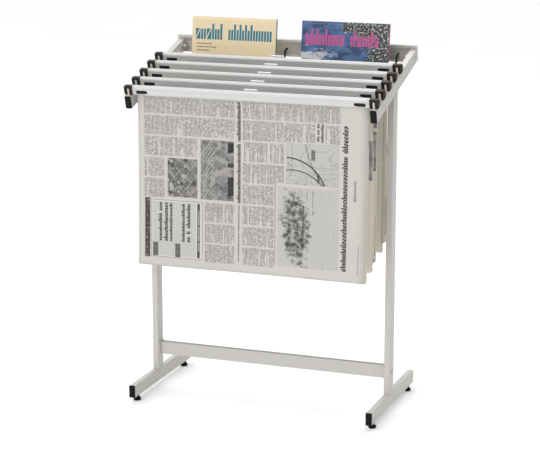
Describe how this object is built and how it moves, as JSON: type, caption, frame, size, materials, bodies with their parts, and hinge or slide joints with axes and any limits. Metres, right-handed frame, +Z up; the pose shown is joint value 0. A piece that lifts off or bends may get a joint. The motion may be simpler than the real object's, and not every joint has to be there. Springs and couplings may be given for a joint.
{
  "type": "newspaper rack",
  "caption": "Free-standing newspaper rack: sloping arms with pegs carry clamping holders with hanging papers, and wire cradles behind hold magazines.",
  "frame": {"origin": "on the floor, midway between the side frames and midway between the front and rear ends of the feet", "axes": "+X to the rack's right as seen by a reader in front of it, +Y to the rear, +Z up"},
  "size_m": [0.601, 0.345, 0.882],
  "materials": {
    "frame_paint": "satin light warm grey powder coat",
    "aluminium": "satin anodised extrusion",
    "dark_plastic": "fine moulded texture, dark grey",
    "black_plastic": "semi-matt black moulding",
    "peg_nylon": "natural nylon",
    "white_plastic": "white moulding",
    "zinc": "bright zinc plate",
    "black_wire": "black coated wire",
    "newsprint": null,
    "left_magazine_cover": "coated cream paper cover",
    "right_magazine_cover": "coated blue paper cover"
  },
  "bodies": {
    "frame": {"left_foot": "frame_paint", "left_upright": "frame_paint", "left_arm": "frame_paint", "right_foot": "frame_paint", "right_upright": "frame_paint", "right_arm": "frame_paint", "lower_crossbar": "frame_paint", "rear_channel": "frame_paint", "foot_end_caps": "black_plastic", "arm_end_caps": "black_plastic", "leveller_nuts": "zinc", "frame_bolts": "zinc", "frame_nuts": "zinc", "ear_washers": "zinc", "holder_pegs": "peg_nylon", "left_magazine_cradle": "black_wire", "right_magazine_cradle": "black_wire"},
    "leveller_front_left": {"leveller_front_left": "black_plastic"},
    "leveller_front_right": {"leveller_front_right": "black_plastic"},
    "leveller_rear_left": {"leveller_rear_left": "black_plastic"},
    "leveller_rear_right": {"leveller_rear_right": "black_plastic"},
    "holder_1": {"holder_1_rear_rail": "aluminium", "holder_1_end_caps": "dark_plastic", "holder_1_label_tab": "white_plastic", "holder_1_newspaper": "newsprint"},
    "holder_1_clamp": {"holder_1_front_rail": "aluminium"},
    "holder_1_latch_left": {"holder_1_latch_left": "dark_plastic"},
    "holder_1_latch_right": {"holder_1_latch_right": "dark_plastic"},
    "holder_2": {"holder_2_rear_rail": "aluminium", "holder_2_end_caps": "dark_plastic", "holder_2_label_tab": "white_plastic", "holder_2_newspaper": "newsprint"},
    "holder_2_clamp": {"holder_2_front_rail": "aluminium"},
    "holder_2_latch_left": {"holder_2_latch_left": "dark_plastic"},
    "holder_2_latch_right": {"holder_2_latch_right": "dark_plastic"},
    "holder_3": {"holder_3_rear_rail": "aluminium", "holder_3_end_caps": "dark_plastic", "holder_3_label_tab": "white_plastic", "holder_3_newspaper": "newsprint"},
    "holder_3_clamp": {"holder_3_front_rail": "aluminium"},
    "holder_3_latch_left": {"holder_3_latch_left": "dark_plastic"},
    "holder_3_latch_right": {"holder_3_latch_right": "dark_plastic"},
    "holder_4": {"holder_4_rear_rail": "aluminium", "holder_4_end_caps": "dark_plastic", "holder_4_label_tab": "white_plastic", "holder_4_newspaper": "newsprint"},
    "holder_4_clamp": {"holder_4_front_rail": "aluminium"},
    "holder_4_latch_left": {"holder_4_latch_left": "dark_plastic"},
    "holder_4_latch_right": {"holder_4_latch_right": "dark_plastic"},
    "holder_5": {"holder_5_rear_rail": "aluminium", "holder_5_end_caps": "dark_plastic", "holder_5_label_tab": "white_plastic", "holder_5_newspaper": "newsprint"},
    "holder_5_clamp": {"holder_5_front_rail": "aluminium"},
    "holder_5_latch_left": {"holder_5_latch_left": "dark_plastic"},
    "holder_5_latch_right": {"holder_5_latch_right": "dark_plastic"},
    "left_magazine": {"left_magazine": "left_magazine_cover"},
    "right_magazine": {"right_magazine": "right_magazine_cover"}
  },
  "joints": [
    {"name": "leveller_front_left_spin", "type": "hinge", "parent": "frame", "child": "leveller_front_left", "pos_m": [-0.2895, -0.1425, 0], "axis": [0, 0, 1], "continuous": true},
    {"name": "leveller_front_right_spin", "type": "hinge", "parent": "frame", "child": "leveller_front_right", "pos_m": [0.2895, -0.1425, 0], "axis": [0, 0, 1], "continuous": true},
    {"name": "leveller_rear_left_spin", "type": "hinge", "parent": "frame", "child": "leveller_rear_left", "pos_m": [-0.2895, 0.1425, 0], "axis": [0, 0, 1], "continuous": true},
    {"name": "leveller_rear_right_spin", "type": "hinge", "parent": "frame", "child": "leveller_rear_right", "pos_m": [0.2895, 0.1425, 0], "axis": [0, 0, 1], "continuous": true},
    {"name": "holder_1_lift", "type": "slide", "parent": "frame", "child": "holder_1", "axis": [0, 0, 1], "range_m": [0, 0.12]},
    {"name": "holder_1_clamp_open", "type": "hinge", "parent": "holder_1", "child": "holder_1_clamp", "pos_m": [0, -0.15814, 0.74594], "axis": [-1, 0, 0], "range_deg": [0, 25]},
    {"name": "holder_1_latch_left_slide", "type": "slide", "parent": "holder_1_clamp", "child": "holder_1_latch_left", "axis": [1, 0, 0], "range_m": [0, 0.0055]},
    {"name": "holder_1_latch_right_slide", "type": "slide", "parent": "holder_1_clamp", "child": "holder_1_latch_right", "axis": [-1, 0, 0], "range_m": [0, 0.0055]},
    {"name": "holder_2_lift", "type": "slide", "parent": "frame", "child": "holder_2", "axis": [0, 0, 1], "range_m": [0, 0.12]},
    {"name": "holder_2_clamp_open", "type": "hinge", "parent": "holder_2", "child": "holder_2_clamp", "pos_m": [0, -0.11427, 0.75911], "axis": [-1, 0, 0], "range_deg": [0, 25]},
    {"name": "holder_2_latch_left_slide", "type": "slide", "parent": "holder_2_clamp", "child": "holder_2_latch_left", "axis": [1, 0, 0], "range_m": [0, 0.0055]},
    {"name": "holder_2_latch_right_slide", "type": "slide", "parent": "holder_2_clamp", "child": "holder_2_latch_right", "axis": [-1, 0, 0], "range_m": [0, 0.0055]},
    {"name": "holder_3_lift", "type": "slide", "parent": "frame", "child": "holder_3", "axis": [0, 0, 1], "range_m": [0, 0.12]},
    {"name": "holder_3_clamp_open", "type": "hinge", "parent": "holder_3", "child": "holder_3_clamp", "pos_m": [0, -0.0704, 0.77227], "axis": [-1, 0, 0], "range_deg": [0, 25]},
    {"name": "holder_3_latch_left_slide", "type": "slide", "parent": "holder_3_clamp", "child": "holder_3_latch_left", "axis": [1, 0, 0], "range_m": [0, 0.0055]},
    {"name": "holder_3_latch_right_slide", "type": "slide", "parent": "holder_3_clamp", "child": "holder_3_latch_right", "axis": [-1, 0, 0], "range_m": [0, 0.0055]},
    {"name": "holder_4_lift", "type": "slide", "parent": "frame", "child": "holder_4", "axis": [0, 0, 1], "range_m": [0, 0.12]},
    {"name": "holder_4_clamp_open", "type": "hinge", "parent": "holder_4", "child": "holder_4_clamp", "pos_m": [0, -0.02653, 0.78543], "axis": [-1, 0, 0], "range_deg": [0, 25]},
    {"name": "holder_4_latch_left_slide", "type": "slide", "parent": "holder_4_clamp", "child": "holder_4_latch_left", "axis": [1, 0, 0], "range_m": [0, 0.0055]},
    {"name": "holder_4_latch_right_slide", "type": "slide", "parent": "holder_4_clamp", "child": "holder_4_latch_right", "axis": [-1, 0, 0], "range_m": [0, 0.0055]},
    {"name": "holder_5_lift", "type": "slide", "parent": "frame", "child": "holder_5", "axis": [0, 0, 1], "range_m": [0, 0.12]},
    {"name": "holder_5_clamp_open", "type": "hinge", "parent": "holder_5", "child": "holder_5_clamp", "pos_m": [0, 0.01734, 0.79859], "axis": [-1, 0, 0], "range_deg": [0, 25]},
    {"name": "holder_5_latch_left_slide", "type": "slide", "parent": "holder_5_clamp", "child": "holder_5_latch_left", "axis": [1, 0, 0], "range_m": [0, 0.0055]},
    {"name": "holder_5_latch_right_slide", "type": "slide", "parent": "holder_5_clamp", "child": "holder_5_latch_right", "axis": [-1, 0, 0], "range_m": [0, 0.0055]},
    {"name": "left_magazine_lift", "type": "slide", "parent": "frame", "child": "left_magazine", "axis": [0, 0.1219, 0.9925], "range_m": [0, 0.2]},
    {"name": "right_magazine_lift", "type": "slide", "parent": "frame", "child": "right_magazine", "axis": [0, 0.1219, 0.9925], "range_m": [0, 0.2]}
  ]
}
